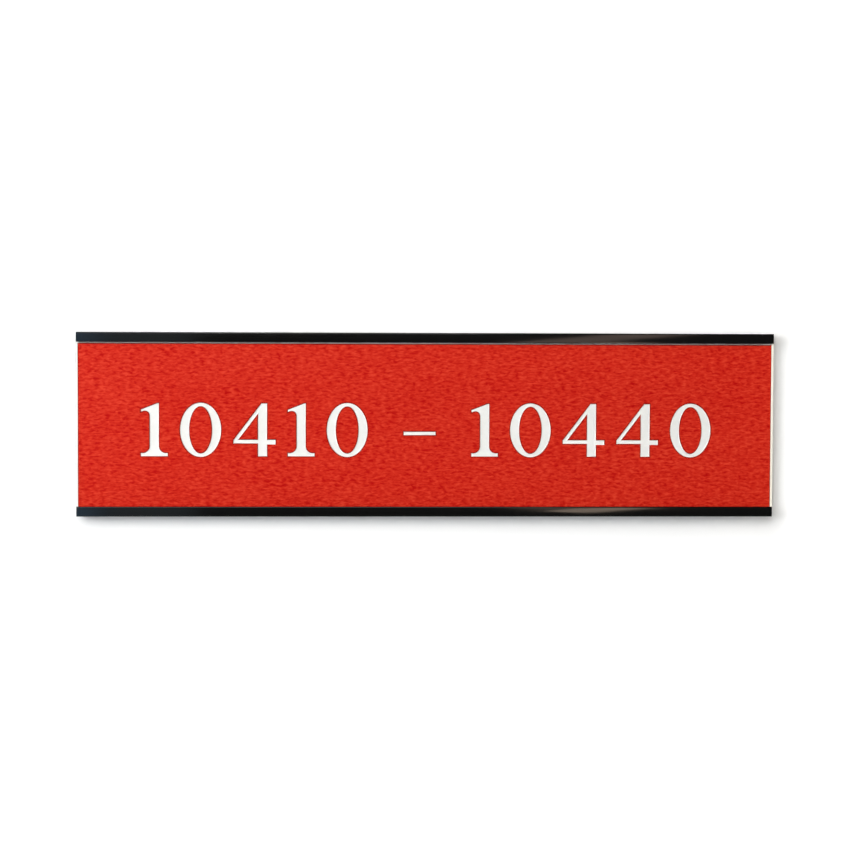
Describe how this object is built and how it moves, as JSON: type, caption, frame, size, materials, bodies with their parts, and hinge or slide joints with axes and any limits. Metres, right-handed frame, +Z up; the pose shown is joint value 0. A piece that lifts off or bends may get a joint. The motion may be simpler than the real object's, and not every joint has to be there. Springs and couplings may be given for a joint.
{
  "type": "wall name plate",
  "caption": "Long red engraving plate with a white core and bevelled edges, sliding in a black extruded wall holder with slim lips, screw holes and foam tape behind.",
  "frame": {"origin": "centre of the foam tape's back face, on the wall", "axes": "+X along the plate to the viewer's right, +Y into the wall, +Z up"},
  "size_m": [0.204, 0.0058, 0.0536],
  "materials": {
    "holder_black": "gloss black finish",
    "core_white": "satin",
    "cap_red": "satin with fine streaks along its length",
    "tape_foam": "closed-cell foam"
  },
  "bodies": {
    "holder": {"wall_holder": "holder_black", "foam_tape": "tape_foam"},
    "plate": {"plate_core": "core_white", "plate_cap": "cap_red"}
  },
  "joints": [
    {"name": "plate_slide", "type": "slide", "parent": "holder", "child": "plate", "axis": [1, 0, 0], "range_m": [-0.21, 0.21]}
  ]
}
